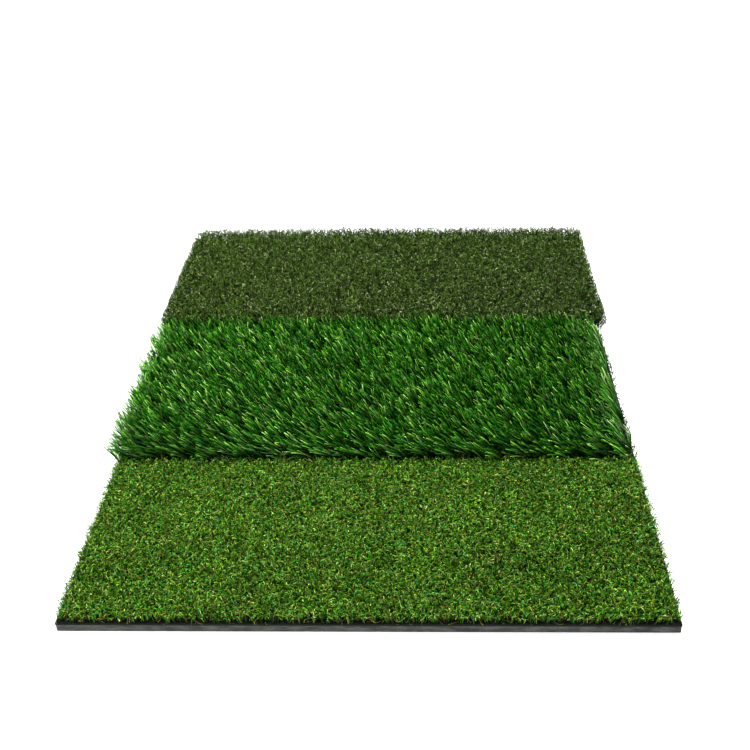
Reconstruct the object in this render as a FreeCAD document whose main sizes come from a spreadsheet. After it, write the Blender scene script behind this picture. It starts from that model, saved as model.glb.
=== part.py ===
import FreeCAD, Part

import os

import Sketcher

# Golf hitting mat in three turf strips (fairway in front, rough in the middle, tee at the back) on
# a thin foam rubber base that is cut at the two seams and folds there.
#
# Millimetres.  +X runs across the width, +Y from the fairway edge to the tee edge, +Z up.  The
# origin is the centre of the underside, so the mat lies on Z = 0.
#
# Each strip is one layered panel.  From the ground up: foam rubber pad, adhesive film, latex coat
# with the undersides of the tufted yarn rows set in it, woven primary backing, and the pile.

SIZES = {
    # outline
    "mat_width": ("406.4", "across X"),
    "mat_length": ("635", "along Y"),
    "fairway_length": ("190.5", "front strip, along Y, to the middle of its seam"),
    "rough_length": ("228.6", "middle strip, between the middles of its seams"),
    "seam_clearance": ("0.3", "from a panel's cut edge to the middle of its seam"),
    "corner_radius": ("1.5", "outer corners of the foam rubber pads"),
    # layers
    "pad_thickness": ("5", "foam rubber"),
    "film_thickness": ("0.2", "adhesive"),
    "film_inset": ("2", "the adhesive stops short of the cut edges"),
    "latex_thickness": ("0.9", "coat under the primary backing"),
    "backing_thickness": ("0.7", "woven primary backing"),
    # yarn rows on the underside of the backing
    "row_width": ("1.2", "one row of back stitches"),
    "row_height": ("0.5", "depth of the row in the latex"),
    "row_inset": ("1.5", "the rows stop short of the cut edges"),
    "fairway_gauge": ("3.96875", "row pitch, 5/32 inch"),
    "rough_gauge": ("9.525", "row pitch, 3/8 inch"),
    "tee_gauge": ("4.7625", "row pitch, 3/16 inch"),
    # pile, measured up from the top of the backing
    "fairway_thatch_height": ("4", "curled yarn that stays put when the mat is folded"),
    "fairway_pile_height": ("9", "blade tips"),
    "rough_thatch_height": ("7", "curled yarn that stays put when the mat is folded"),
    "rough_pile_height": ("22", "blade tips"),
    "rough_lean_left": ("12", "how far the tips hang out over the -X edge"),
    "rough_lean_right": ("9", "how far the tips lie back from the +X edge"),
    "rough_bulge": ("9", "how far the front tufts flop over the fairway"),
    "rough_bulge_gap": ("0.6", "between the fairway's tips and the tufts over them"),
    "tee_pile_height": ("17", "stiff curled yarn"),
    "tee_lean_left": ("6", "how far the tips hang out over the -X edge"),
    "tee_lean_right": ("2.5", "how far the tips hang out over the +X edge"),
    "tee_lean_back": ("3", "how far the tips hang out over the back edge"),
    "tee_top_ease": ("2", "slope along the top edges of the tee pile"),
    # hinge tapes
    "tape_thickness": ("0.4", "woven tape, flush in its rebate"),
    "tape_width": ("60", "half on each side of the seam"),
    "tape_end_inset": ("2", "from the mat's side edges"),
}

# the layers' undersides, as expressions
FILM_Z = "sizes.pad_thickness"
LATEX_Z = FILM_Z + " + sizes.film_thickness"
BACKING_Z = LATEX_Z + " + sizes.latex_thickness"
PILE_Z = BACKING_Z + " + sizes.backing_thickness"

# the middles of the two seams, and the Y range of each strip between them, as expressions
FRONT_SEAM = "(sizes.fairway_length - sizes.mat_length / 2)"
REAR_SEAM = "(sizes.fairway_length + sizes.rough_length - sizes.mat_length / 2)"

STRIPS = {
    "front": ("-sizes.mat_length / 2", FRONT_SEAM),
    "middle": (FRONT_SEAM, REAR_SEAM),
    "rear": (REAR_SEAM, "sizes.mat_length / 2"),
}

TURFS = {"front": "fairway", "middle": "rough", "rear": "tee"}

doc = FreeCAD.newDocument("hitting_mat")
sheet = doc.addObject("Spreadsheet::Sheet", "sizes")


def fill_sheet():
    """Names, values and notes of the driving dimensions, one row each."""
    for row, (alias, (number, note)) in enumerate(SIZES.items(), start=1):
        sheet.set(f"A{row}", alias)
        sheet.set(f"B{row}", number)
        sheet.set(f"C{row}", note)
        sheet.setAlias(f"B{row}", alias)
    doc.recompute()


def value(expression):
    """An expression over the sheet, as a number."""
    return float(sheet.evalExpression(expression.replace("sizes.", "")))


def strip_range(panel):
    """Expressions for a panel's cut edges, which stop short of the seams but not of the mat's
    own front and back edges."""
    front, back = STRIPS[panel]
    if panel != "front":
        front += " + sizes.seam_clearance"
    if panel != "rear":
        back += " - sizes.seam_clearance"
    return front, back


def plane(body, role):
    return next(feature for feature in body.Origin.OriginFeatures if feature.Role == role)


def new_body(node):
    body = doc.addObject("PartDesign::Body", node)
    body.Label = node
    return body


def rectangle_sketch(body, name, corner, size):
    """A rectangle on the body's XY plane.  corner is the x, y, z of its low corner and size its
    extent in X and Y, all expressions."""
    sketch = body.newObject("Sketcher::SketchObject", name)
    sketch.AttachmentSupport = (plane(body, "XY_Plane"), [""])
    sketch.MapMode = "FlatFace"
    for axis, expression in zip("xyz", corner):
        sketch.setExpression(f"AttachmentOffset.Base.{axis}", expression)
    width, length = value(size[0]), value(size[1])
    corners = [
        FreeCAD.Vector(0, 0, 0),
        FreeCAD.Vector(width, 0, 0),
        FreeCAD.Vector(width, length, 0),
        FreeCAD.Vector(0, length, 0),
    ]
    for index in range(4):
        sketch.addGeometry(Part.LineSegment(corners[index], corners[(index + 1) % 4]), False)
    for index in range(4):
        sketch.addConstraint(Sketcher.Constraint("Coincident", index, 2, (index + 1) % 4, 1))
    for index in (0, 2):
        sketch.addConstraint(Sketcher.Constraint("Horizontal", index))
    for index in (1, 3):
        sketch.addConstraint(Sketcher.Constraint("Vertical", index))
    sketch.addConstraint(Sketcher.Constraint("Coincident", 0, 1, -1, 1))
    for side, kind, extent, expression in (
        (0, "DistanceX", width, size[0]),
        (1, "DistanceY", length, size[1]),
    ):
        index = sketch.addConstraint(Sketcher.Constraint(kind, side, 1, side, 2, extent))
        sketch.setExpression(f"Constraints[{index}]", expression)
    return sketch


def pad_feature(body, name, sketch, height):
    pad = body.newObject("PartDesign::Pad", name)
    pad.Profile = sketch
    pad.setExpression("Length", height)
    return pad


def round_edges(body, name, edges, radius):
    """A fillet on the named edges of the body's last feature."""
    last = body.Tip
    fillet = body.newObject("PartDesign::Fillet", name)
    fillet.Base = (last, edges)
    fillet.setExpression("Radius", radius)
    body.Tip = fillet


def rebate(body, name, corner, size, cut_upwards):
    """A shallow pocket for a hinge tape, in the top or the underside of a pad."""
    sketch = rectangle_sketch(body, f"{name}_outline", corner, size)
    doc.recompute()
    before = body.Shape.Volume
    pocket = body.newObject("PartDesign::Pocket", name)
    pocket.Profile = sketch
    pocket.setExpression("Length", "sizes.tape_thickness")
    pocket.Reversed = cut_upwards
    doc.recompute()
    removed = before - body.Shape.Volume
    expected = value(size[0]) * value(size[1]) * value("sizes.tape_thickness")
    if abs(removed - expected) > 0.01 * expected:
        raise RuntimeError(f"{body.Label}: {name} removed {removed:.1f}, not {expected:.1f}")
    return pocket


def base_pad(panel):
    """Foam rubber pad with half a rebate at each seam: in its top for the tape of the front seam,
    and in its underside for the tape of the rear seam."""
    body = new_body(f"{panel}_base_pad")
    front, back = strip_range(panel)
    length = f"({back}) - ({front})"
    outline = rectangle_sketch(
        body, f"{panel}_pad_outline", ("-sizes.mat_width / 2", front, "0"), ("sizes.mat_width", length)
    )
    pad_feature(body, f"{panel}_pad", outline, "sizes.pad_thickness")
    doc.recompute()

    tape_start_x = "-sizes.mat_width / 2 + sizes.tape_end_inset"
    tape_length = "sizes.mat_width - 2 * sizes.tape_end_inset"
    reach = "(sizes.tape_width / 2 - sizes.seam_clearance)"
    top = "sizes.pad_thickness"
    if panel == "front":
        rebate(body, "front_top_rebate", (tape_start_x, f"{back} - {reach}", top), (tape_length, reach), False)
    if panel == "middle":
        rebate(body, "middle_top_rebate", (tape_start_x, front, top), (tape_length, reach), False)
        rebate(
            body, "middle_under_rebate", (tape_start_x, f"{back} - {reach}", "0"), (tape_length, reach), True
        )
    if panel == "rear":
        rebate(body, "rear_under_rebate", (tape_start_x, front, "0"), (tape_length, reach), True)
    if panel != "middle":
        round_outer_corners(body, panel)
    return body


def round_outer_corners(body, panel):
    """The two upright edges at the mat's own front or back edge."""
    end = value("sizes.mat_length / 2") * (-1 if panel == "front" else 1)
    thickness = value("sizes.pad_thickness")
    edges = []
    for number, edge in enumerate(body.Shape.Edges, start=1):
        box = edge.BoundBox
        upright = abs(box.ZLength - thickness) < 0.001
        if upright and abs(box.YMin - end) < 0.001 and abs(box.YMax - end) < 0.001:
            edges.append(f"Edge{number}")
    if len(edges) != 2:
        raise RuntimeError(f"{body.Label}: {len(edges)} outer corners, not 2")
    round_edges(body, f"{panel}_pad_corners", edges, "sizes.corner_radius")


def slab(node, panel, z, height, inset="0"):
    """A flat layer over a whole panel, short of the panel's edges by the inset."""
    front, back = strip_range(panel)
    box = doc.addObject("Part::Box", node)
    box.Label = node
    box.setExpression("Length", f"sizes.mat_width - 2 * ({inset})")
    box.setExpression("Width", f"({back}) - ({front}) - 2 * ({inset})")
    box.setExpression("Height", height)
    box.setExpression(".Placement.Base.x", f"-sizes.mat_width / 2 + ({inset})")
    box.setExpression(".Placement.Base.y", f"{front} + ({inset})")
    box.setExpression(".Placement.Base.z", z)
    return box


def tuft_rows(panel):
    """The yarn's back stitches: one thin bar for each row, along Y, under the backing.  They are
    separate solids that share one node."""
    turf = TURFS[panel]
    front, back = strip_range(panel)
    inset = value("sizes.row_inset")
    gauge = value(f"sizes.{turf}_gauge")
    row_width = value("sizes.row_width")
    row_height = value("sizes.row_height")
    row_length = value(back) - value(front) - 2 * inset
    across = value("sizes.mat_width") - 2 * inset - row_width
    gaps = int(across // gauge)
    low = FreeCAD.Vector(
        -gaps * gauge / 2 - row_width / 2, value(front) + inset, value(BACKING_Z) - row_height
    )
    rows = []
    for row in range(gaps + 1):
        corner = FreeCAD.Vector(row * gauge, 0, 0)
        rows.append(Part.makeBox(row_width, row_length, row_height, corner))
    feature = doc.addObject("Part::Feature", f"{turf}_tuft_rows")
    feature.Label = f"{turf}_tuft_rows"
    feature.Shape = Part.makeCompound(rows)
    feature.Placement = FreeCAD.Placement(low, FreeCAD.Rotation())
    return feature


def latex_coat(panel, rows):
    """The coat that locks the tufts in: a slab with the yarn rows cut out of its top."""
    turf = TURFS[panel]
    blank = slab(f"{turf}_latex_blank", panel, LATEX_Z, "sizes.latex_thickness")
    coat = doc.addObject("Part::Cut", f"{turf}_latex_coat")
    coat.Label = f"{turf}_latex_coat"
    coat.Base = blank
    coat.Tool = rows
    return coat


def lofted_pile(node, sections):
    """A pile that leans or bulges: a ruled loft through rectangles.  Each section is its low x,
    low y, high x, high y and height, all expressions."""
    body = new_body(node)
    sketches = []
    for number, (low_x, low_y, high_x, high_y, z) in enumerate(sections):
        size = (f"({high_x}) - ({low_x})", f"({high_y}) - ({low_y})")
        sketches.append(rectangle_sketch(body, f"{node}_section_{number}", (low_x, low_y, z), size))
    loft = body.newObject("PartDesign::AdditiveLoft", f"{node}_loft")
    loft.Profile = sketches[0]
    loft.Sections = sketches[1:]
    loft.Ruled = True
    doc.recompute()
    return body


def fairway_pile():
    """Short pile: curled thatch that stays put, and the blades over it that are crushed when the
    mat is folded."""
    thatch = slab("fairway_thatch", "front", PILE_Z, "sizes.fairway_thatch_height")
    blades = slab(
        "fairway_blades",
        "front",
        PILE_Z + " + sizes.fairway_thatch_height",
        "sizes.fairway_pile_height - sizes.fairway_thatch_height",
    )
    return thatch, blades


def rough_pile():
    """Long pile combed towards -X.  Its front tufts flop over the fairway's tips."""
    thatch = slab("rough_thatch", "middle", PILE_Z, "sizes.rough_thatch_height")
    front, back = strip_range("middle")
    left = "-sizes.mat_width / 2"
    right = "sizes.mat_width / 2"
    foot = PILE_Z + " + sizes.rough_thatch_height"
    over_fairway = PILE_Z + " + sizes.fairway_pile_height + sizes.rough_bulge_gap"
    widest = PILE_Z + " + sizes.rough_pile_height * 0.55"
    tips = PILE_Z + " + sizes.rough_pile_height"
    blades = lofted_pile(
        "rough_blades",
        (
            (left, front, right, back, foot),
            (f"{left} - sizes.rough_lean_left * 0.25", front, f"{right} - sizes.rough_lean_right * 0.2",
             back, over_fairway),
            (f"{left} - sizes.rough_lean_left * 0.75", f"{front} - sizes.rough_bulge",
             f"{right} - sizes.rough_lean_right * 0.6", back, widest),
            (f"{left} - sizes.rough_lean_left", f"{front} - sizes.rough_bulge * 0.6",
             f"{right} - sizes.rough_lean_right", back, tips),
        ),
    )
    return thatch, blades


def tee_pile():
    """Dense stiff pile whose tips fan out over the mat's own edges.  Its top edges are eased."""
    front, back = strip_range("rear")
    left = "-sizes.mat_width / 2"
    right = "sizes.mat_width / 2"
    tips = PILE_Z + " + sizes.tee_pile_height"
    ease = "sizes.tee_top_ease"
    low_x = f"{left} - sizes.tee_lean_left"
    high_x = f"{right} + sizes.tee_lean_right"
    high_y = f"{back} + sizes.tee_lean_back"
    return lofted_pile(
        "tee_pile",
        (
            (left, front, right, back, PILE_Z),
            (low_x, front, high_x, high_y, f"{tips} - {ease}"),
            (f"{low_x} + {ease}", f"{front} + {ease}", f"{high_x} - {ease}", f"{high_y} - {ease}", tips),
        ),
    )


def hinge_tape(node, seam, z):
    """A strip of woven tape across one seam, flush in the rebates of both pads."""
    box = doc.addObject("Part::Box", node)
    box.Label = node
    box.setExpression("Length", "sizes.mat_width - 2 * sizes.tape_end_inset")
    box.setExpression("Width", "sizes.tape_width")
    box.setExpression("Height", "sizes.tape_thickness")
    box.setExpression(".Placement.Base.x", "-sizes.mat_width / 2 + sizes.tape_end_inset")
    box.setExpression(".Placement.Base.y", f"{seam} - sizes.tape_width / 2")
    box.setExpression(".Placement.Base.z", z)
    return box


def check(nodes):
    """Every object recomputed, and every node a valid shape of closed solids."""
    doc.recompute()
    for item in doc.Objects:
        if "Invalid" in item.State or "Error" in item.State:
            raise RuntimeError(f"{item.Label}: {item.State}")
    for node in nodes:
        shape = node.Shape
        if shape.isNull() or not shape.isValid() or not shape.Solids:
            raise RuntimeError(f"{node.Label}: bad shape")


def write_steps(nodes):
    os.makedirs("parts", exist_ok=True)
    for node in nodes:
        node.Shape.exportStep(f"parts/{node.Label}.step")
        box = node.Shape.BoundBox
        print(
            f"{node.Label:26s} solids {len(node.Shape.Solids):4d}  volume {node.Shape.Volume:11.1f}"
            f"  x {box.XMin:8.2f} {box.XMax:8.2f}  y {box.YMin:8.2f} {box.YMax:8.2f}"
            f"  z {box.ZMin:6.2f} {box.ZMax:6.2f}"
        )


def build():
    fill_sheet()
    nodes = []
    for panel, turf in TURFS.items():
        rows = tuft_rows(panel)
        nodes.append(base_pad(panel))
        nodes.append(
            slab(f"{panel}_adhesive_film", panel, FILM_Z, "sizes.film_thickness", "sizes.film_inset")
        )
        nodes.append(latex_coat(panel, rows))
        nodes.append(rows)
        nodes.append(slab(f"{turf}_primary_backing", panel, BACKING_Z, "sizes.backing_thickness"))
    nodes.extend(fairway_pile())
    nodes.extend(rough_pile())
    nodes.append(tee_pile())
    top_rebate_z = "sizes.pad_thickness - sizes.tape_thickness"
    nodes.append(hinge_tape("front_hinge_tape", FRONT_SEAM, top_rebate_z))
    nodes.append(hinge_tape("rear_hinge_tape", REAR_SEAM, "0"))
    check(nodes)
    write_steps(nodes)


build()
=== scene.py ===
import math

import bpy
import numpy as np
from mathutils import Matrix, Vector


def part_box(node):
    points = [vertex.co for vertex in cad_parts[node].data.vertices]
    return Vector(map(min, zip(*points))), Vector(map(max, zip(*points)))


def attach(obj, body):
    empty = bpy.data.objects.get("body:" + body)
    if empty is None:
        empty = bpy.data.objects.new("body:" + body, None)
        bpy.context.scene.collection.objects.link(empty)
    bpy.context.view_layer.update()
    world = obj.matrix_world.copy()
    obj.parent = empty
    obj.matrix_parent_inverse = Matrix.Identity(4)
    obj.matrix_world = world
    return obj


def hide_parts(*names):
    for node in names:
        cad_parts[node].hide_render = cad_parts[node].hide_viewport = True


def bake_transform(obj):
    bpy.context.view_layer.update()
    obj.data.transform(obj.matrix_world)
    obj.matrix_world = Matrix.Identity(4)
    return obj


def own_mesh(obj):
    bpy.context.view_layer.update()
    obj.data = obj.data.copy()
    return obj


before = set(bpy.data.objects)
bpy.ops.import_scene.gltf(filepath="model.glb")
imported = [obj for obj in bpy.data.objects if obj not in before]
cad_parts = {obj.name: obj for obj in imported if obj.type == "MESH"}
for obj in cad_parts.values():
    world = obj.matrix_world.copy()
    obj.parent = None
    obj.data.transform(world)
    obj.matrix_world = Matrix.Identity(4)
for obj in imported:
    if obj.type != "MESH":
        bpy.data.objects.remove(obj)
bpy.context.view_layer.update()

# Golf hitting mat: three turf strips on a folding foam rubber base.  Metres, in the CAD frame:
# +X across the mat, +Y from the fairway to the tee, +Z up.
#
# Every pile is real yarn.  A strand is a narrow ribbon that grows from a tuft on the backing; all
# strands of one yarn colour are one piece, so that each piece has one material.

MM = 0.001
UP = np.array((0.0, 0.0, 1.0))
TINY = 1e-9  # the least length that anything is divided by

# ---------------------------------------------------------------- strands


def tuft_grid(node, gauge, stitch, inset, jitter, rng):
    """Tuft positions over a backing: rows along Y at the gauge, one tuft each stitch."""
    low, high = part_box(node)
    across = np.arange(low.x + inset, high.x - inset, gauge)
    along = np.arange(low.y + inset, high.y - inset - stitch / 2, stitch)
    across += (high.x - inset - across[-1]) / 2
    along += (high.y - inset - stitch / 2 - along[-1]) / 2
    x, y = np.meshgrid(across, along, indexing="ij")
    y[1::2] += stitch / 2
    spots = np.column_stack((x.ravel(), y.ravel(), np.full(x.size, high.z)))
    spots[:, :2] += rng.normal(0, jitter, (len(spots), 2))
    return spots


def nearness(spots, node, reach):
    """For the backing's left, right, front and back edge: 1 at the edge, 0 from reach inwards."""
    low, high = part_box(node)
    gaps = (spots[:, 0] - low.x, high.x - spots[:, 0], spots[:, 1] - low.y, high.y - spots[:, 1])
    return [np.clip(1 - gap / reach, 0, 1) for gap in gaps]


def around(angle):
    """Level headings at the given angles."""
    return np.column_stack((np.cos(angle), np.sin(angle), np.zeros(len(angle))))


def unit(vectors):
    return vectors / np.maximum(np.linalg.norm(vectors, axis=-1, keepdims=True), TINY)


def scatter(spots, radius, rng):
    """Moves roots a little off their tuft's middle."""
    moved = spots.copy()
    moved[:, :2] += rng.normal(0, radius, (len(spots), 2))
    return moved


def grow(roots, length, joints, stand, drift, rng, bend_from=0.0, kink=0.0, spring=0.0):
    """The centre lines of strands, with joints at the given shares of their length.  A strand
    starts along stand.  From the share bend_from on, drift is added to its heading, in full by the
    tip.  kink is a random turn at each joint there, and spring pulls the heading back to stand.
    Returns an array of points, (strand, joint, 3)."""
    count = len(roots)
    stand = unit(stand)
    points = [roots]
    heading = stand
    for share, next_share in zip(joints, joints[1:]):
        points.append(points[-1] + heading * (length * (next_share - share))[:, None])
        bent = max(0.0, next_share - max(share, bend_from)) / (1 - bend_from)
        if bent > 0:
            heading = heading + drift * bent + rng.normal(0, kink, (count, 3))
            heading = unit(heading + (stand - heading) * spring)
    return np.stack(points, axis=1)


def hold_in(points, node, overhangs):
    """Yarn that would hang far out over the backing is trimmed or held back: past each edge (left,
    right, front, back) it reaches no further than that edge's overhang."""
    low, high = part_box(node)
    sides = ((0, -1, low.x), (0, 1, high.x), (1, -1, low.y), (1, 1, high.y))
    for (axis, sign, edge), overhang in zip(sides, overhangs):
        beyond = (points[:, :, axis] - edge) * sign
        held = np.where(beyond > 0, overhang * np.tanh(beyond / overhang), beyond)
        points[:, :, axis] = edge + held * sign
    return points


def press(points, node, height, uneven, rng):
    """Presses a pile level: no point stays higher over the backing than height, less a random
    share of it of up to uneven.  Both are one number or one for each strand."""
    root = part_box(node)[1].z
    height = np.broadcast_to(height, len(points))[:, None]
    uneven = np.broadcast_to(uneven, len(points))[:, None]
    limit = height * (1 - uneven * rng.random(points.shape[:2]))
    points[:, :, 2] = np.minimum(points[:, :, 2], root + limit)
    return points


def ribbons(name, points, half_width, tone, rng, keel=0.0, taper=0.6, lit=0.0):
    """One mesh of ribbons along the centre lines, each rolled to a random facing.  keel folds a
    ribbon along its middle, as a share of its half width, and taper is how wide its tip is, as a
    share of its root.  Each vertex keeps the strand's tone, a random value that the strand has, and
    how far along the strand it is, which sets the painted shading along it.  lit raises the last
    one, for strands at an edge, where light comes in from the side: painted light, so that they get
    less painted shade."""
    count, joints = points.shape[:2]
    headings = unit(np.gradient(points, axis=1))
    roll = rng.uniform(0, math.pi, count)[:, None, None]
    # A little noise, because a strand that stands upright has no level side of its own.
    level = unit(np.cross(headings, UP + rng.normal(0, 0.05, (count, 1, 3))))
    side = level * np.cos(roll) + np.cross(headings, level) * np.sin(roll)
    face = np.cross(side, headings)
    along = np.linspace(0, 1, joints)
    width = (half_width[:, None] * (1 - (1 - taper) * along**2))[:, :, None]
    columns = [points - side * width, points + side * width]
    if keel:
        columns.insert(1, points + face * width * keel)
    wide = len(columns)
    vertices = np.stack(columns, axis=2).reshape(-1, 3)
    first = (np.arange(count) * joints * wide)[:, None, None]
    row = (np.arange(joints - 1) * wide)[None, :, None]
    corner = (first + row + np.arange(wide - 1)[None, None, :]).reshape(-1)
    faces = np.column_stack((corner, corner + 1, corner + wide + 1, corner + wide))
    # How far along each strand, raised at lit edges; it sets the painted shading in the yarn
    # materials.
    raised = along + (1 - along) * np.broadcast_to(lit, count)[:, None]
    values = {
        "tone": np.repeat(tone, joints * wide),
        "strand": np.repeat(rng.random(count), joints * wide),
        "along": np.repeat(raised, wide, axis=1).ravel(),
    }
    return quad_mesh(name, vertices, faces, values)


def quad_mesh(name, vertices, faces, values=None):
    """A smooth-shaded object from arrays of vertices, quads and vertex attributes."""
    mesh = bpy.data.meshes.new(name)
    mesh.vertices.add(len(vertices))
    mesh.vertices.foreach_set("co", vertices.astype(np.float32).ravel())
    mesh.loops.add(faces.size)
    mesh.loops.foreach_set("vertex_index", faces.astype(np.int32).ravel())
    mesh.polygons.add(len(faces))
    mesh.polygons.foreach_set("loop_start", np.arange(0, faces.size, 4, dtype=np.int32))
    mesh.polygons.foreach_set("use_smooth", np.ones(len(faces), bool))
    mesh.update(calc_edges=True)
    for key, numbers in (values or {}).items():
        attribute = mesh.attributes.new(key, "FLOAT", "POINT")
        attribute.data.foreach_set("value", numbers.astype(np.float32))
    piece = bpy.data.objects.new(name, mesh)
    bpy.context.scene.collection.objects.link(piece)
    return piece


# ---------------------------------------------------------------- materials

# Scales of the noise in yarn: patches over a whole strip, painted glints along a curled strand,
# and grain.
PATCH_SCALE = 28.0
PAINTED_GLINT_SCALE = 900.0
GRAIN_SCALE = 2600.0
MATT_SPECULAR = 0.15


def node_tree(name):
    """A new material, its node tree and its surface shader."""
    material = bpy.data.materials.new(name)
    material.use_nodes = True
    tree = material.node_tree
    return material, tree, tree.nodes["Principled BSDF"]


def read_attribute(tree, name):
    node = tree.nodes.new("ShaderNodeAttribute")
    node.attribute_name = name
    return node.outputs["Fac"]


def noise(tree, scale, detail=3.0, stretch=(1.0, 1.0, 1.0)):
    """Noise in the piece's own metres, so it stays with the piece when the piece moves."""
    place = tree.nodes.new("ShaderNodeTexCoord")
    mapping = tree.nodes.new("ShaderNodeMapping")
    mapping.inputs["Scale"].default_value = stretch
    texture = tree.nodes.new("ShaderNodeTexNoise")
    texture.inputs["Scale"].default_value = scale
    texture.inputs["Detail"].default_value = detail
    tree.links.new(place.outputs["Object"], mapping.inputs["Vector"])
    tree.links.new(mapping.outputs["Vector"], texture.inputs["Vector"])
    return texture.outputs["Fac"]


def ramp(tree, source, stops):
    """A colour ramp through (position, (r, g, b)) stops."""
    node = tree.nodes.new("ShaderNodeValToRGB")
    elements = node.color_ramp.elements
    while len(elements) < len(stops):
        elements.new(0.5)
    for element, (position, colour) in zip(elements, stops):
        element.position = position
        element.color = (*colour, 1.0)
    tree.links.new(source, node.inputs["Fac"])
    return node.outputs["Color"]


def grey_ramp(tree, source, stops):
    return ramp(tree, source, [(position, (shade,) * 3) for position, shade in stops])


def multiply(tree, *colours):
    """The product of colours and grey shades."""
    result = colours[0]
    for colour in colours[1:]:
        node = tree.nodes.new("ShaderNodeMix")
        node.data_type = "RGBA"
        node.blend_type = "MULTIPLY"
        node.inputs["Factor"].default_value = 1.0
        tree.links.new(result, node.inputs["A"])
        tree.links.new(colour, node.inputs["B"])
        result = node.outputs["Result"]
    return result


def spread(tree, source, low, high):
    """Maps 0..1 to low..high."""
    node = tree.nodes.new("ShaderNodeMapRange")
    node.inputs["To Min"].default_value = low
    node.inputs["To Max"].default_value = high
    tree.links.new(source, node.inputs["Value"])
    return node.outputs["Result"]


def bump(tree, shader, source, distance):
    node = tree.nodes.new("ShaderNodeBump")
    node.inputs["Distance"].default_value = distance
    tree.links.new(source, node.inputs["Height"])
    tree.links.new(node.outputs["Normal"], shader.inputs["Normal"])


def yarn_material(name, shades, depth, roughness, specular, patch=0.15, glint=0.0):
    """Turf yarn.  shades is a ramp over the strands' tones.  depth is a ramp of brightness along a
    strand, dark at the root: painted shade low in the pile, and painted light at the tip where it
    goes above 1.  Large soft patches vary the whole strip a little, and glint is how much the
    brightness changes along a strand: painted glints, where curled yarn turns to and from the
    light."""
    material, tree, shader = node_tree(name)
    last = len(shades) - 1
    colour = ramp(tree, read_attribute(tree, "tone"), [(i / last, c) for i, c in enumerate(shades)])
    own = grey_ramp(tree, read_attribute(tree, "strand"), [(0.0, 0.4), (1.0, 1.6)])
    # Painted shade and light along each strand: dark at its root, bright at its tip.
    painted_shading = grey_ramp(tree, read_attribute(tree, "along"), depth)
    slow = noise(tree, PATCH_SCALE, detail=2.0)
    patches = grey_ramp(tree, slow, [(0.3, 1 - patch), (0.7, 1 + patch)])
    # Painted glints: brightness that rises and falls along a strand.
    glint_noise = noise(tree, PAINTED_GLINT_SCALE, detail=1.0)
    turns = grey_ramp(tree, glint_noise, [(0.35, 1 - glint), (0.65, 1 + glint)])
    tree.links.new(multiply(tree, colour, own, painted_shading, patches, turns), shader.inputs["Base Color"])
    grain = noise(tree, GRAIN_SCALE, detail=2.0, stretch=(1.0, 1.0, 0.15))
    gloss = spread(tree, grain, roughness - 0.1, roughness + 0.1)
    tree.links.new(gloss, shader.inputs["Roughness"])
    bump(tree, shader, grain, distance=0.08 * MM)
    shader.inputs["Specular IOR Level"].default_value = specular
    return material


def matt_material(name, colour, variation, patch_scale, roughness, grain_scale):
    """A matt rubbery or woven surface with soft colour patches and a fine grain."""
    material, tree, shader = node_tree(name)
    dark = tuple(c * (1 - variation) for c in colour)
    light = tuple(c * (1 + variation) for c in colour)
    shade = ramp(tree, noise(tree, patch_scale), [(0.35, dark), (0.65, light)])
    grain = noise(tree, grain_scale, detail=4.0)
    speck = grey_ramp(tree, grain, [(0.3, 0.75), (0.7, 1.25)])
    tree.links.new(multiply(tree, shade, speck), shader.inputs["Base Color"])
    gloss = spread(tree, grain, roughness - 0.12, roughness + 0.12)
    tree.links.new(gloss, shader.inputs["Roughness"])
    bump(tree, shader, grain, distance=0.1 * MM)
    shader.inputs["Specular IOR Level"].default_value = MATT_SPECULAR
    return material


def foam_material(name, colour, painted_contact_shadow_height):
    """Cut foam rubber: grey and mottled, and darker along its underside: painted shade, a contact
    shadow where it meets the floor, which has faded out at the given height above the underside."""
    material, tree, shader = node_tree(name)
    place = tree.nodes.new("ShaderNodeTexCoord")
    apart = tree.nodes.new("ShaderNodeSeparateXYZ")
    painted_contact_shadow = tree.nodes.new("ShaderNodeMapRange")
    painted_contact_shadow.inputs["From Max"].default_value = painted_contact_shadow_height
    tree.links.new(place.outputs["Object"], apart.inputs["Vector"])
    tree.links.new(apart.outputs["Z"], painted_contact_shadow.inputs["Value"])
    # Painted contact shadow: darker towards the underside.
    shade = grey_ramp(tree, painted_contact_shadow.outputs["Result"], [(0.0, 0.35), (1.0, 1.0)])
    dark = tuple(c * 0.6 for c in colour)
    light = tuple(c * 1.4 for c in colour)
    blotches = noise(tree, 160.0, detail=3.0, stretch=(0.6, 1.0, 2.0))
    mottle = ramp(tree, blotches, [(0.35, dark), (0.65, light)])
    grain = noise(tree, 2200.0, detail=4.0)
    pores = grey_ramp(tree, grain, [(0.3, 0.7), (0.7, 1.3)])
    tree.links.new(multiply(tree, mottle, pores, shade), shader.inputs["Base Color"])
    tree.links.new(spread(tree, grain, low=0.68, high=0.92), shader.inputs["Roughness"])
    bump(tree, shader, grain, distance=0.25 * MM)
    shader.inputs["Specular IOR Level"].default_value = MATT_SPECULAR
    return material


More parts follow.
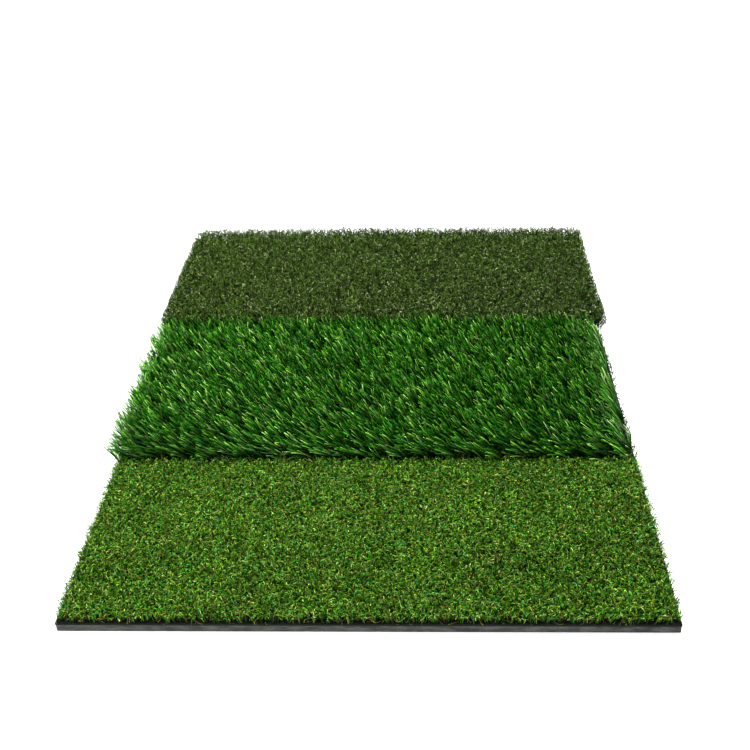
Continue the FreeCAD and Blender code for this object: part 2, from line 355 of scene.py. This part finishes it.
def cloth_material(name, colour, pitch):
    """A woven cloth: two crossed sets of bands at the yarns' pitch, worn unevenly.  At a scale of 1
    the bands of a wave texture are pi / 10 apart."""
    material, tree, shader = node_tree(name)
    place = tree.nodes.new("ShaderNodeTexCoord")
    crossed = tree.nodes.new("ShaderNodeMath")
    crossed.operation = "MULTIPLY"
    for index, direction in enumerate("XY"):
        bands = tree.nodes.new("ShaderNodeTexWave")
        bands.bands_direction = direction
        bands.inputs["Scale"].default_value = math.pi / 10 / pitch
        bands.inputs["Distortion"].default_value = 0.6
        tree.links.new(place.outputs["Object"], bands.inputs["Vector"])
        tree.links.new(bands.outputs["Fac"], crossed.inputs[index])
    dark = tuple(c * 0.4 for c in colour)
    weave = crossed.outputs["Value"]
    yarns = ramp(tree, weave, [(0.05, dark), (0.6, colour)])
    wear = grey_ramp(tree, noise(tree, 120.0), [(0.3, 0.75), (0.7, 1.3)])
    tree.links.new(multiply(tree, yarns, wear), shader.inputs["Base Color"])
    tree.links.new(spread(tree, weave, low=0.95, high=0.7), shader.inputs["Roughness"])
    bump(tree, shader, weave, distance=0.25 * MM)
    shader.inputs["Specular IOR Level"].default_value = MATT_SPECULAR
    return material


def dress(piece, material, body, node):
    """Gives a new piece its material and its body, and hides the CAD node that it stands for."""
    piece.data.materials.append(material)
    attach(piece, body)
    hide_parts(node)


def crush(piece):
    """Gives a pile piece a mesh of its own."""
    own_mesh(piece)


# ---------------------------------------------------------------- fairway

# For each turf: the gauge is the distance between rows of tufts, the stitch that between tufts in a
# row, and the height is what the pile is pressed to.  The overhangs are those past the left, right,
# front and back edge.  The depth is painted shading: a brightness at shares of a strand's length
# from its root, dark low in the pile as painted shade and above 1 at the tips as painted light.
FAIRWAY_GAUGE = 3.96875 * MM
FAIRWAY_STITCH = 2.4 * MM
FAIRWAY_HEIGHT = 8.8 * MM
FAIRWAY_LENGTHS = (7.0 * MM, 10.2 * MM)
FAIRWAY_HALF_WIDTHS = (0.18 * MM, 0.28 * MM)
FAIRWAY_JOINTS = (0.0, 0.4, 0.6, 0.74, 0.87, 1.0)
FAIRWAY_SLANT = (0.0, 0.45)
FAIRWAY_CURL = (0.9, 2.0)
FAIRWAY_DROOP = (0.2, 2.0)
FAIRWAY_TWIST = 0.7
FAIRWAY_OVERHANGS = (3.2 * MM, 4.0 * MM, 1.2 * MM, 1.6 * MM)
FAIRWAY_PAINTED_SHADING = ((0.0, 0.15), (0.4, 0.4), (0.75, 1.05), (1.0, 1.5))

# The palest shade of each yarn is its own light colour, and in part whitened as a painted
# highlight.
# name, strands in a tuft, shades
FAIRWAY_YARNS = (
    ("fairway_mid_green", 2, ((0.025, 0.12, 0.0005), (0.075, 0.27, 0.002), (0.22, 0.48, 0.045))),
    ("fairway_emerald", 2, ((0.004, 0.10, 0.002), (0.018, 0.22, 0.012), (0.08, 0.40, 0.08))),
    ("fairway_olive", 2, ((0.055, 0.11, 0.0005), (0.16, 0.25, 0.002), (0.43, 0.50, 0.12))),
    ("fairway_leaf_green", 2, ((0.035, 0.12, 0.0005), (0.10, 0.27, 0.002), (0.30, 0.51, 0.07))),
)


def fairway():
    """Short blades that start at a random slant and curl over, fanning out a little at the edges,
    and a tan thatch between them."""
    rng = np.random.default_rng(11)
    backing = "fairway_primary_backing"
    tufts = tuft_grid(
        backing, FAIRWAY_GAUGE, FAIRWAY_STITCH, inset=1.0 * MM, jitter=0.35 * MM, rng=rng
    )
    left, right, front, back = nearness(tufts, backing, reach=4 * MM)
    fan_x = (right - left) * 0.6
    fan_y = (back - 1.6 * front) * 0.25
    fan = np.column_stack((fan_x, fan_y, np.zeros(len(tufts))))
    # Painted light: strands at the edges get less of the painted root shade.
    lit = 0.5 * np.maximum(front, np.maximum(left, right))
    pieces = []
    for name, per_tuft, shades in FAIRWAY_YARNS:
        roots = scatter(np.repeat(tufts, per_tuft, axis=0), 1.0 * MM, rng)
        count = len(roots)
        # Each blade slants one way, curls over that way and droops, and twists to the side of it.
        aside = around(rng.uniform(0, 2 * math.pi, count))
        slant = rng.uniform(*FAIRWAY_SLANT, (count, 1))
        stand = UP + aside * slant + np.repeat(fan, per_tuft, axis=0)
        curl = rng.uniform(*FAIRWAY_CURL, (count, 1))
        droop = rng.uniform(*FAIRWAY_DROOP, (count, 1))
        twist = rng.normal(0, FAIRWAY_TWIST, (count, 1))
        drift = aside * curl - UP * droop
        drift += np.cross(aside, UP) * twist
        length = rng.uniform(*FAIRWAY_LENGTHS, count)
        points = grow(
            roots, length, FAIRWAY_JOINTS, stand, drift, rng, bend_from=0.45, kink=0.5
        )
        points = press(points, backing, FAIRWAY_HEIGHT, uneven=0.15, rng=rng)
        points = hold_in(points, backing, FAIRWAY_OVERHANGS)
        half_width = rng.uniform(*FAIRWAY_HALF_WIDTHS, count)
        tone = rng.random(count)
        edge_lit = np.repeat(lit, per_tuft)
        piece = ribbons(name, points, half_width, tone, rng, taper=0.7, lit=edge_lit)
        material = yarn_material(
            name, shades, FAIRWAY_PAINTED_SHADING, roughness=0.5, specular=0.1, glint=0.55
        )
        dress(piece, material, "front_panel", "fairway_blades")
        pieces.append(piece)

    name = "fairway_tan_thatch"
    points = curled_thatch(
        tufts, per_tuft=2, lengths=(7 * MM, 11.5 * MM), radius=0.8 * MM, rng=rng
    )
    points = hold_in(points, backing, FAIRWAY_OVERHANGS)
    half_width = rng.uniform(0.2 * MM, 0.34 * MM, len(points))
    thatch = ribbons(name, points, half_width, rng.random(len(points)), rng)
    shades = ((0.02, 0.06, 0.001), (0.11, 0.09, 0.008), (0.04, 0.13, 0.002), (0.25, 0.21, 0.03))
    # Painted shade at the thatch's roots, and painted light at its tips.
    depth = ((0.0, 0.25), (1.0, 1.15))
    material = yarn_material(name, shades, depth, roughness=0.6, specular=0.15)
    dress(thatch, material, "front_panel", "fairway_thatch")
    for piece in (*pieces, thatch):
        crush(piece)


def curled_thatch(tufts, per_tuft, lengths, radius, rng):
    """Short yarn that was curled by heat: it turns at random and lies on the backing."""
    roots = scatter(np.repeat(tufts, per_tuft, axis=0), radius, rng)
    count = len(roots)
    # At its root each strand may slant any way, but not down into the backing.
    stand = UP + rng.normal(0, 0.5, (count, 3))
    stand[:, 2] = np.abs(stand[:, 2])
    drift = rng.normal(0, 1.5, (count, 3))
    length = rng.uniform(*lengths, count)
    points = grow(roots, length, np.linspace(0, 1, 6), stand, drift, rng, kink=0.55)
    lowest = tufts[0, 2] + 0.3 * MM
    points[:, 1:, 2] = np.maximum(points[:, 1:, 2], lowest)
    return points


# ---------------------------------------------------------------- rough

ROUGH_GAUGE = 9.525 * MM
ROUGH_STITCH = 5.0 * MM
ROUGH_HEIGHT = 24.5 * MM
ROUGH_LENGTHS = (22.5 * MM, 29.5 * MM)
ROUGH_HALF_WIDTHS = (0.4 * MM, 0.6 * MM)
ROUGH_JOINTS = (0.0, 0.22, 0.42, 0.6, 0.75, 0.88, 1.0)
ROUGH_OVERHANGS = (11.5 * MM, 1.5 * MM, 9 * MM, 0.8 * MM)
ROUGH_THATCH_OVERHANGS = (2 * MM, 1 * MM, 1 * MM, 0.8 * MM)
# Painted shade low in the rough and painted light at its tips.
ROUGH_PAINTED_SHADING = ((0.0, 0.04), (0.25, 0.08), (0.65, 0.38), (1.0, 1.45))
LOCKS_PER_TUFT = 2

# name, strands in a lock, gloss, shades
ROUGH_YARNS = (
    (
        "rough_deep_green",
        2,
        0.1,
        ((0.001, 0.035, 0.0005), (0.002, 0.075, 0.001), (0.01, 0.15, 0.002)),
    ),
    (
        "rough_field_green",
        1,
        0.15,
        ((0.002, 0.06, 0.0005), (0.008, 0.14, 0.001), (0.05, 0.27, 0.006)),
    ),
    (
        "rough_mid_green",
        2,
        0.25,
        ((0.01, 0.14, 0.001), (0.04, 0.26, 0.003), (0.14, 0.42, 0.02)),
    ),
    # Bright green yarn; its palest tones are partly a painted highlight.
    (
        "rough_bright_green_and_highlight",
        1,
        0.4,
        ((0.09, 0.33, 0.005), (0.25, 0.57, 0.04), (0.58, 0.84, 0.28)),
    ),
)


def rough_locks(tufts, backing, rng):
    """Each tuft parts into locks, whose strands stay together.  The pile is combed towards -X:
    lower and a little forward along the front, more upright towards the back, and most upright
    along the left edge.  Returns the locks' roots, and how they stand and drift."""
    low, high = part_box(backing)
    locks = scatter(np.repeat(tufts, LOCKS_PER_TUFT, axis=0), 1.0 * MM, rng)
    back_share = np.clip((locks[:, 1] - low.y) / (high.y - low.y), 0, 1)
    _, _, fore, _ = nearness(locks, backing, reach=75 * MM)
    left, right, front, _ = nearness(locks, backing, reach=20 * MM)
    front *= 1 - left
    # How far a lock leans for its height, to the right and backwards, and then how it bends.
    held_up = left * (0.3 + 0.16 * fore)
    stand_x = -0.5 + 0.18 * back_share - 0.15 * fore - 0.13 * front - 0.1 * right + held_up
    stand_y = 0.05 - 0.12 * fore - 0.14 * front
    stand = np.column_stack((stand_x, stand_y, np.ones(len(locks))))
    stand[:, :2] += rng.normal(0, 0.17, (len(locks), 2))
    drift_x = -0.35 + 0.12 * back_share - 0.08 * fore
    drift_y = 0.02 - 0.08 * fore
    drift_z = 0.1 * left - 0.15 * (1 + front)
    drift = np.column_stack((drift_x, drift_y, drift_z))
    drift[:, :2] += rng.normal(0, 0.12, (len(locks), 2))
    return locks, stand, drift


def rough():
    """Long glossy blades in locks, trimmed shorter towards the back and most of all at its left
    end, and a dark thatch between their roots."""
    rng = np.random.default_rng(23)
    backing = "rough_primary_backing"
    tufts = tuft_grid(
        backing, ROUGH_GAUGE, ROUGH_STITCH, inset=2.0 * MM, jitter=0.7 * MM, rng=rng
    )
    locks, lock_stand, lock_drift = rough_locks(tufts, backing, rng)
    _, _, _, back = nearness(locks, backing, reach=40 * MM)
    left, right, fore, _ = nearness(locks, backing, reach=15 * MM)
    trim = 1 - 0.16 * back - 0.25 * left * back
    lock_length = rng.uniform(*ROUGH_LENGTHS, len(locks)) * trim
    lock_tone = rng.random(len(locks))
    pieces = []
    for name, per_lock, gloss, shades in ROUGH_YARNS:
        roots = scatter(np.repeat(locks, per_lock, axis=0), 0.6 * MM, rng)
        count = len(roots)
        stand = np.repeat(lock_stand, per_lock, axis=0) + rng.normal(0, 0.09, (count, 3))
        drift = np.repeat(lock_drift, per_lock, axis=0) + rng.normal(0, 0.18, (count, 3))
        # Strands differ in length, most of all along the right edge, which thins them out there.
        shortest = np.repeat(0.72 - 0.4 * right, per_lock)
        length = np.repeat(lock_length, per_lock) * rng.uniform(shortest, 1.06, count)
        points = grow(roots, length, ROUGH_JOINTS, stand, drift, rng, kink=0.04)
        points = press(points, backing, ROUGH_HEIGHT, uneven=0.1, rng=rng)
        points = hold_in(points, backing, ROUGH_OVERHANGS)
        half_width = rng.uniform(*ROUGH_HALF_WIDTHS, count)
        # The sides are painted lighter: a paler tone and less painted root shade further down, most
        # of all at the front left corner, where light reaches into the pile.
        side = np.repeat(np.maximum(left, right), per_lock)
        tone = 0.45 * np.repeat(lock_tone, per_lock) + 0.55 * rng.random(count)
        tone = np.minimum(tone + 0.35 * side, 1)
        lit = 0.55 * side + 0.35 * np.repeat(left * fore, per_lock)
        piece = ribbons(name, points, half_width, tone, rng, keel=0.35, taper=0.5, lit=lit)
        roughness = 0.55 - 0.5 * gloss
        material = yarn_material(name, shades, ROUGH_PAINTED_SHADING, roughness, specular=gloss)
        dress(piece, material, "middle_panel", "rough_blades")
        pieces.append(piece)

    name = "rough_curled_thatch"
    points = curled_thatch(
        tufts, per_tuft=8, lengths=(9 * MM, 15 * MM), radius=2.2 * MM, rng=rng
    )
    points = hold_in(points, backing, ROUGH_THATCH_OVERHANGS)
    half_width = rng.uniform(0.25 * MM, 0.42 * MM, len(points))
    thatch = ribbons(name, points, half_width, rng.random(len(points)), rng)
    shades = ((0.002, 0.03, 0.001), (0.004, 0.06, 0.002), (0.02, 0.08, 0.003), (0.05, 0.06, 0.01))
    # Painted shade, darker towards the thatch's roots.
    depth = ((0.0, 0.4), (1.0, 1.0))
    material = yarn_material(name, shades, depth, roughness=0.6, specular=0.15)
    dress(thatch, material, "middle_panel", "rough_thatch")
    for piece in (*pieces, thatch):
        crush(piece)


# ---------------------------------------------------------------- tee

# TEE_HEIGHTS are those at the left and at the right edge.
TEE_GAUGE = 4.7625 * MM
TEE_STITCH = 2.8 * MM
TEE_HEIGHTS = (20.8 * MM, 17.6 * MM)
TEE_LENGTHS = (24 * MM, 29 * MM)
TEE_HALF_WIDTHS = (0.22 * MM, 0.34 * MM)
TEE_JOINTS = (0.0, 0.42, 0.6, 0.7, 0.79, 0.87, 0.94, 1.0)
TEE_OVERHANGS = (7 * MM, 6 * MM, 5 * MM, 2 * MM)
# Painted shade low in the tee pile and painted light at its tips.
TEE_PAINTED_SHADING = ((0.0, 0.12), (0.45, 0.2), (0.7, 0.72), (1.0, 1.38))

# name, strands in a tuft, shades
TEE_YARNS = (
    ("tee_dark_olive", 2, ((0.010, 0.030, 0.001), (0.028, 0.068, 0.004), (0.07, 0.13, 0.014))),
    ("tee_moss_green", 2, ((0.022, 0.065, 0.003), (0.050, 0.12, 0.008), (0.10, 0.20, 0.025))),
    ("tee_mid_olive", 2, ((0.036, 0.078, 0.004), (0.09, 0.16, 0.018), (0.21, 0.29, 0.08))),
    ("tee_light_olive", 1, ((0.07, 0.12, 0.014), (0.17, 0.25, 0.06), (0.44, 0.50, 0.30))),
)


def tee():
    """Dense stiff yarn that stands up and curls at its top.  Tufts at the outer edges are doubled,
    so that the cut edge is closed, and the pile is taller towards the back."""
    rng = np.random.default_rng(37)
    backing = "tee_primary_backing"
    tufts = tuft_grid(backing, TEE_GAUGE, TEE_STITCH, inset=1.2 * MM, jitter=0.4 * MM, rng=rng)
    low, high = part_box(backing)
    left, right, _, back = nearness(tufts, backing, reach=14 * MM)
    outer = tufts[np.maximum(back, np.maximum(left, right)) > 0.6]
    tufts = np.concatenate((tufts, scatter(outer, 0.8 * MM, rng)))
    left, right, front, back = nearness(tufts, backing, reach=14 * MM)
    _, _, fore, aft = nearness(tufts, backing, reach=60 * MM)
    # It fans out over its left and right edges, and more in front than at the back.
    fan_x = right * (0.3 + 0.4 * fore) - left * 0.6 * (1 - 0.8 * aft)
    fan = np.column_stack((fan_x, back * 0.1 - front * 0.3, np.zeros(len(tufts))))
    fan[:, :2] += rng.normal(0, 0.05, (len(tufts), 2))
    tuft_tone = rng.random(len(tufts))
    tuft_height = 1 + 0.2 * aft - rng.uniform(0, 0.1, len(tufts)) * (1 - back)
    uneven = 0.22 - 0.16 * np.maximum(back, np.maximum(left, right))
    for name, per_tuft, shades in TEE_YARNS:
        roots = scatter(np.repeat(tufts, per_tuft, axis=0), 1.1 * MM, rng)
        count = len(roots)
        stand = UP + np.repeat(fan, per_tuft, axis=0) + rng.normal(0, 0.08, (count, 3))
        drift = rng.normal(0, 0.9, (count, 3))
        length = rng.uniform(*TEE_LENGTHS, count)
        height = np.interp(roots[:, 0], (low.x, high.x), TEE_HEIGHTS)
        height *= np.repeat(tuft_height, per_tuft)
        points = grow(
            roots, length, TEE_JOINTS, stand, drift, rng, bend_from=0.4, kink=0.85, spring=0.3
        )
        points = press(points, backing, height, np.repeat(uneven, per_tuft), rng)
        points = hold_in(points, backing, TEE_OVERHANGS)
        half_width = rng.uniform(*TEE_HALF_WIDTHS, count)
        tone = 0.2 * np.repeat(tuft_tone, per_tuft) + 0.8 * rng.random(count)
        piece = ribbons(name, points, half_width, tone, rng, taper=0.8)
        material = yarn_material(
            name, shades, TEE_PAINTED_SHADING, roughness=0.6, specular=0.08, patch=0.1, glint=0.5
        )
        dress(piece, material, "rear_panel", "tee_pile")


# ---------------------------------------------------------------- base


def waves(x, y, pitch, rng):
    """Smooth unevenness between about -1 and 1, from a few crossing sine waves."""
    total = np.zeros(np.broadcast(x, y).shape)
    for _ in range(7):
        turn, phase = rng.uniform(0, 2 * math.pi, 2)
        wavelength = pitch * rng.uniform(0.7, 1.6)
        along = x * math.cos(turn) + y * math.sin(turn)
        total += np.sin(2 * math.pi * along / wavelength + phase)
    return np.clip(total / 4, -1, 1)


# Grid lines round a place where a face steps; the step's own wall is between the second and third.
STEP_OFFSETS = (-0.5 * MM, 0.0, 0.06 * MM, 0.5 * MM, 1.2 * MM)
REBATE_END = 2 * MM
OUTER_CORNER = 1.5 * MM
FACE_WAVE = 14 * MM

# ending of the CAD nodes' names, material, colour, variation, patch scale, roughness, grain scale
KEPT_NODES = (
    ("latex_coat", "latex", (0.004, 0.005, 0.004), 0.3, 300.0, 0.6, 1500.0),
    ("adhesive_film", "adhesive", (0.10, 0.09, 0.07), 0.2, 200.0, 0.45, 900.0),
    ("tuft_rows", "tuft_rows", (0.02, 0.07, 0.01), 0.4, 600.0, 0.55, 1500.0),
)


def grid_lines(low, high, spacing, extra=()):
    """Even lines from low to high, with close ones at both ends and at each extra place."""
    lines = list(np.linspace(low, high, max(3, round((high - low) / spacing) + 1)))
    for place in (low, high, *extra):
        lines += [place + offset for offset in STEP_OFFSETS]
    return np.unique(np.round([line for line in lines if low <= line <= high], 7))


def grid_quads(wide, deep):
    """The quads of a grid of vertices that face up."""
    cell = (np.arange(wide - 1)[:, None] * deep + np.arange(deep - 1)).ravel()
    return np.stack((cell, cell + deep, cell + deep + 1, cell + 1), axis=-1)


def grid_border(wide, deep):
    """The rows and columns of the vertices round a grid, in order."""
    border = [(i, 0) for i in range(wide)]
    border += [(wide - 1, j) for j in range(1, deep)]
    border += [(i, deep - 1) for i in range(wide - 2, -1, -1)]
    border += [(0, j) for j in range(deep - 2, 0, -1)]
    return np.array(border).T


def outwards(index, last):
    """-1 at index 0, 1 at the last index, and 0 between them."""
    return np.where(index == last, 1.0, np.where(index == 0, -1.0, 0.0))


def face_heights(x, y, node, rebates):
    """The heights of a slab's top and underside over a grid, with the rebates sunk in."""
    low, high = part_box(node)
    heights = {"top": np.full(x.shape, high.z), "under": np.full(x.shape, low.z)}
    between_ends = (x > low.x + REBATE_END) & (x < high.x - REBATE_END)
    for low_y, high_y, face, depth in rebates:
        sunk = between_ends & (y >= low_y) & (y <= high_y)
        inwards = depth if face == "under" else -depth
        heights[face] = np.where(sunk, heights[face] + inwards, heights[face])
    return heights["top"], heights["under"]


def side_profile(thickness, ease, side_rows):
    """Rows down the side of a slab, as (how far out, how far down), with eased edges."""
    bevel = 0.3 * ease
    straight = thickness - 2 * ease
    profile = [(ease - bevel, bevel)]
    profile += [(ease, ease + straight * k / (side_rows - 1)) for k in range(side_rows)]
    profile += [(ease - bevel, thickness - bevel)]
    return profile


def soft_slab(
    name, node, spacing, ease, side_rows, rough_side, uneven, rng, rebates=(), corners=()
):
    """A closed soft slab in a CAD node's place.  Its edges are eased, its cut sides are uneven, and
    its faces wave a little inwards.  rebates are (low y, high y, face, depth); corners names the
    ends, front or back, whose outer corners are rounded."""
    low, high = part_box(node)
    steps = [y for low_y, high_y, _, _ in rebates for y in (low_y, high_y)]
    xs = grid_lines(low.x + ease, high.x - ease, spacing)
    ys = grid_lines(low.y + ease, high.y - ease, spacing, steps)
    x, y = np.meshgrid(xs, ys, indexing="ij")
    top_z, under_z = face_heights(x, y, node, rebates)
    inner = np.zeros(x.shape, bool)
    inner[2:-2, 2:-2] = True
    ripple = np.where(inner, (waves(x, y, FACE_WAVE, rng) * 0.5 + 0.5) * uneven, 0)
    top = np.stack((x, y, top_z - ripple), axis=-1).reshape(-1, 3)
    under = np.stack((x, y, under_z + ripple), axis=-1).reshape(-1, 3)

    wide, deep = x.shape
    rows, columns = grid_border(wide, deep)
    size = len(rows)
    out_x = outwards(rows, wide - 1)
    out_y = outwards(columns, deep - 1)
    rings = []
    for outward, drop in side_profile(high.z - low.z, ease, side_rows):
        shift = np.full(size, outward)
        if outward == ease:
            shift -= np.abs(rng.normal(0, rough_side, size))
        ring_x = x[rows, columns] + out_x * shift
        ring_y = y[rows, columns] + out_y * shift
        rings.append(np.column_stack((ring_x, ring_y, np.full(size, high.z - drop))))

    vertices = np.concatenate((top, *rings, under))
    vertices = round_corners(vertices, low, high, OUTER_CORNER, corners)
    count = wide * deep
    under_start = count + size * len(rings)
    border = rows * deep + columns
    loops = [border]
    loops += [count + size * k + np.arange(size) for k in range(len(rings))]
    loops.append(under_start + border)
    faces = []
    for upper, lower in zip(loops, loops[1:]):
        faces.append(np.stack((upper, lower, np.roll(lower, -1), np.roll(upper, -1)), axis=-1))
    up_faces = grid_quads(wide, deep)
    faces.append(up_faces)
    faces.append(up_faces[:, ::-1] + under_start)
    return quad_mesh(name, vertices, np.concatenate(faces))


def round_corners(vertices, low, high, radius, ends):
    """Moves what lies in the square at an outer corner into a quarter circle."""
    for end in ends:
        for side in (-1, 1):
            edge_x = low.x if side < 0 else high.x
            edge_y, inward = (low.y, 1) if end == "front" else (high.y, -1)
            centre = np.array((edge_x - side * radius, edge_y + inward * radius))
            away = vertices[:, :2] - centre
            corner = (away[:, 0] * side > 0) & (away[:, 1] * -inward > 0)
            longer_side = np.abs(away).max(axis=1)
            distance = np.maximum(np.linalg.norm(away, axis=1), TINY)
            vertices[corner, :2] = centre + away[corner] * (longer_side / distance)[corner, None]
    return vertices


def rebate(tape_node, face):
    """The step in a pad's face that a hinge tape lies in: (low y, high y, face, depth)."""
    low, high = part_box(tape_node)
    return low.y, high.y, face, high.z - low.z


def base():
    """The foam rubber pads, woven backings and hinge tapes, and the CAD nodes that stay."""
    rng = np.random.default_rng(5)
    foam = foam_material("foam_rubber", (0.061, 0.066, 0.059), painted_contact_shadow_height=0.9 * MM)
    weave = cloth_material("woven_backing", (0.005, 0.008, 0.005), pitch=1.6 * MM)
    tape_cloth = cloth_material("hinge_tape", (0.022, 0.022, 0.024), pitch=1.2 * MM)
    front_rebate = rebate("front_hinge_tape", "top")
    rear_rebate = rebate("rear_hinge_tape", "under")
    pads = (
        ("front", (front_rebate,), ("front",)),
        ("middle", (front_rebate, rear_rebate), ()),
        ("rear", (rear_rebate,), ("back",)),
    )
    for panel, rebates, corners in pads:
        node = f"{panel}_base_pad"
        pad = soft_slab(
            f"{panel}_foam_pad",
            node,
            spacing=5 * MM,
            ease=0.45 * MM,
            side_rows=6,
            rough_side=0.07 * MM,
            uneven=0.12 * MM,
            rng=rng,
            rebates=rebates,
            corners=corners,
        )
        dress(pad, foam, f"{panel}_panel", node)
    for panel, turf in (("front", "fairway"), ("middle", "rough"), ("rear", "tee")):
        node = f"{turf}_primary_backing"
        sheet = soft_slab(
            f"{turf}_woven_backing",
            node,
            spacing=5 * MM,
            ease=0.2 * MM,
            side_rows=3,
            rough_side=0.12 * MM,
            uneven=0.02 * MM,
            rng=rng,
        )
        dress(sheet, weave, f"{panel}_panel", node)
    hinge_tape("front_hinge_tape", tape_cloth, rng=rng)
    hinge_tape("rear_hinge_tape", tape_cloth, rng=rng)

    for ending, name, colour, variation, patch_scale, roughness, grain_scale in KEPT_NODES:
        material = matt_material(name, colour, variation, patch_scale, roughness, grain_scale)
        for node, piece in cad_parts.items():
            if node.endswith(ending):
                piece.data.materials.clear()
                piece.data.materials.append(material)


def hinge_tape(node, material, rng):
    """A woven tape over the seam of two panels; the real one is glued down except close to the
    seam, where it bends."""
    tape = soft_slab(
        f"{node}_cloth",
        node,
        spacing=2 * MM,
        ease=0.12 * MM,
        side_rows=2,
        rough_side=0.02 * MM,
        uneven=0.02 * MM,
        rng=rng,
    )
    tape.data.materials.append(material)
    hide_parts(node)
    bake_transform(tape)


# ---------------------------------------------------------------- stage

# The floor is flat round the mat and rises in a bowl further out.
SWEEP_REACH = 6.0
SWEEP_LINES = 97
SWEEP_FLAT_RADIUS = 4.2
SWEEP_RISE = 0.6
DAYLIGHT = 0.34

# name, place, watts, diameter
LIGHTS = (
    ("key", (0.6, 0.8, 1.8), 70, 0.45),
    ("front_fill", (-0.8, -0.9, 1.0), 4, 0.8),
    ("left_fill", (-1.0, -0.3, 0.42), 10, 0.6),
)

# Fitted to the mat's corners and edges in the photo.
CAMERA_PLACE = (0.0384, -0.9377, 0.5273)
CAMERA_DEGREES = (61.47, 1.35, 1.85)
CAMERA_LENS = 59.0


def stage():
    """The pale floor, the world's even light and the lights."""
    line = np.linspace(-SWEEP_REACH, SWEEP_REACH, SWEEP_LINES)
    x, y = np.meshgrid(line, line, indexing="ij")
    z = SWEEP_RISE * np.maximum(np.hypot(x, y) - SWEEP_FLAT_RADIUS, 0) ** 2
    vertices = np.stack((x, y, z), axis=-1).reshape(-1, 3)
    sweep = quad_mesh("studio_sweep", vertices, grid_quads(SWEEP_LINES, SWEEP_LINES))
    material, _, shader = node_tree("studio_sweep")
    shader.inputs["Base Color"].default_value = (0.9, 0.9, 0.9, 1)
    shader.inputs["Roughness"].default_value = 0.8
    shader.inputs["Emission Color"].default_value = (1, 1, 1, 1)
    shader.inputs["Emission Strength"].default_value = 0.5
    sweep.data.materials.append(material)

    world = bpy.data.worlds.new("studio")
    world.use_nodes = True
    background = world.node_tree.nodes["Background"]
    background.inputs["Color"].default_value = (1, 1, 1, 1)
    background.inputs["Strength"].default_value = DAYLIGHT
    bpy.context.scene.world = world
    for name, location, energy, size in LIGHTS:
        soft_light(name, location, energy, size)


def soft_light(name, location, energy, size):
    """A round soft light that faces the mat."""
    light = bpy.data.lights.new(name, "AREA")
    light.energy = energy
    light.shape = "DISK"
    light.size = size
    lamp = bpy.data.objects.new(name, light)
    bpy.context.scene.collection.objects.link(lamp)
    x, y, z = location
    lamp.location = location
    lamp.rotation_euler = (math.atan2(math.hypot(x, y), z), 0, math.atan2(y, x) + math.pi / 2)


def camera():
    """A camera that sees the mat as the photo does."""
    data = bpy.data.cameras.new("photo_camera")
    data.lens = CAMERA_LENS
    data.sensor_width = 36.0
    data.clip_start = 0.01
    eye = bpy.data.objects.new("photo_camera", data)
    eye.location = CAMERA_PLACE
    eye.rotation_euler = tuple(math.radians(angle) for angle in CAMERA_DEGREES)
    bpy.context.scene.collection.objects.link(eye)
    bpy.context.scene.camera = eye


bpy.context.scene.view_settings.view_transform = "Standard"
camera()
stage()
base()
fairway()
rough()
tee()
